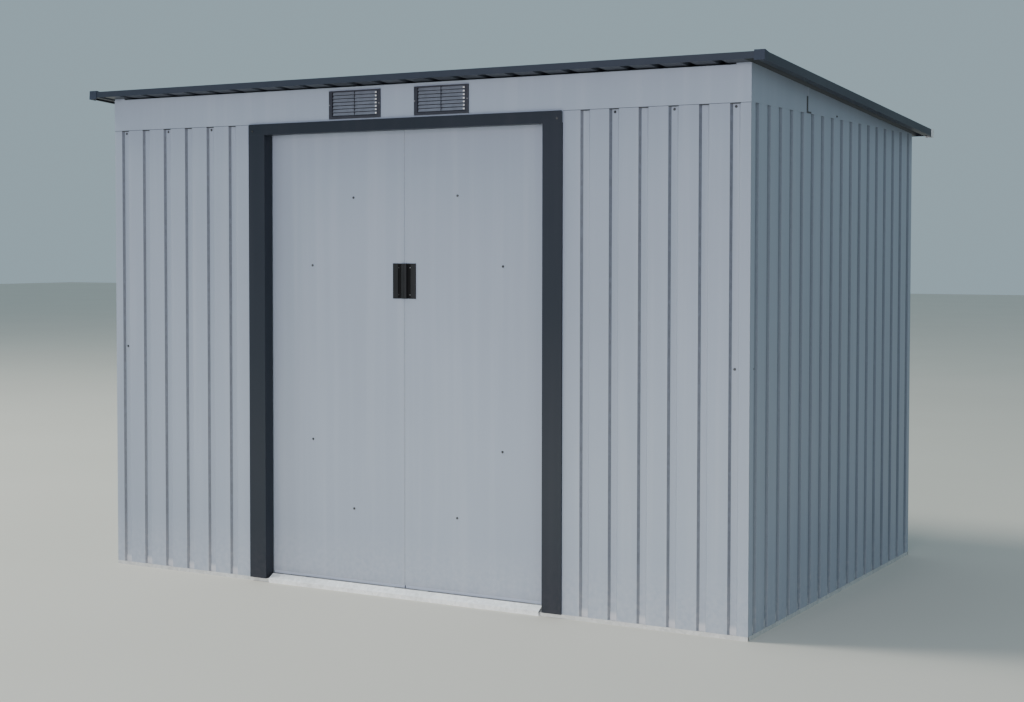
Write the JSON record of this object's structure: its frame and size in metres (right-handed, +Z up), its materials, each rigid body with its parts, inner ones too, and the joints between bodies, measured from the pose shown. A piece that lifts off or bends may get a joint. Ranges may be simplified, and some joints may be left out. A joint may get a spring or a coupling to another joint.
{
  "type": "metal storage shed",
  "caption": "Grey ribbed steel garden shed with a low pent roof, dark trims, louvred vents and a pair of sliding doors in a dark surround.",
  "frame": {"origin": "on the ground, below the middle of the roof", "axes": "+X along the front to its right-hand end, +Y from the door front to the back, +Z up"},
  "size_m": [2.705, 1.8996, 1.8191],
  "materials": {
    "wall_paint": "satin",
    "door_paint": "satin",
    "roof_paint": "satin",
    "dark_paint": "satin",
    "frame_zinc": "galvanised",
    "sill_zinc": "galvanised",
    "dark_plastic": "matt",
    "pale_plastic": "matt",
    "handle_plastic": "matt",
    "vent_plastic": "matt"
  },
  "bodies": {
    "shed": {"back_wall": "wall_paint", "base_rail_back": "frame_zinc", "base_rail_front": "frame_zinc", "base_rail_left": "frame_zinc", "base_rail_right": "frame_zinc", "corner_post_back_left": "frame_zinc", "corner_post_back_right": "frame_zinc", "corner_post_front_left": "frame_zinc", "corner_post_front_right": "frame_zinc", "door_head": "dark_paint", "door_sill": "sill_zinc", "door_track": "frame_zinc", "front_header": "wall_paint", "front_panel_left": "wall_paint", "front_panel_right": "wall_paint", "jamb_left": "dark_paint", "jamb_right": "dark_paint", "left_gable_back": "wall_paint", "left_gable_front": "wall_paint", "left_wall": "wall_paint", "mid_rail_back": "frame_zinc", "mid_rail_left": "frame_zinc", "mid_rail_right": "frame_zinc", "right_gable_back": "wall_paint", "right_gable_front": "wall_paint", "right_wall": "wall_paint", "roof_beam": "frame_zinc", "roof_caps_back": "pale_plastic", "roof_caps_front": "dark_plastic", "roof_sheet_left": "roof_paint", "roof_sheet_middle": "roof_paint", "roof_sheet_right": "roof_paint", "roof_trim_back": "dark_paint", "roof_trim_front": "dark_paint", "roof_trim_left": "dark_paint", "roof_trim_right": "dark_paint", "top_rail_back": "frame_zinc", "top_rail_left": "frame_zinc", "top_rail_right": "frame_zinc", "vent_left": "vent_plastic", "vent_right": "vent_plastic"},
    "left_door": {"door_left": "door_paint", "door_left_braces": "frame_zinc", "door_left_handle": "handle_plastic", "door_left_runners": "frame_zinc"},
    "right_door": {"door_right": "door_paint", "door_right_braces": "frame_zinc", "door_right_handle": "handle_plastic", "door_right_runners": "frame_zinc"}
  },
  "joints": [
    {"name": "door_left_slide", "type": "slide", "parent": "shed", "child": "left_door", "axis": [-1, 0, 0], "range_m": [0, 0.515]},
    {"name": "door_right_slide", "type": "slide", "parent": "shed", "child": "right_door", "axis": [1, 0, 0], "range_m": [0, 0.515]}
  ]
}
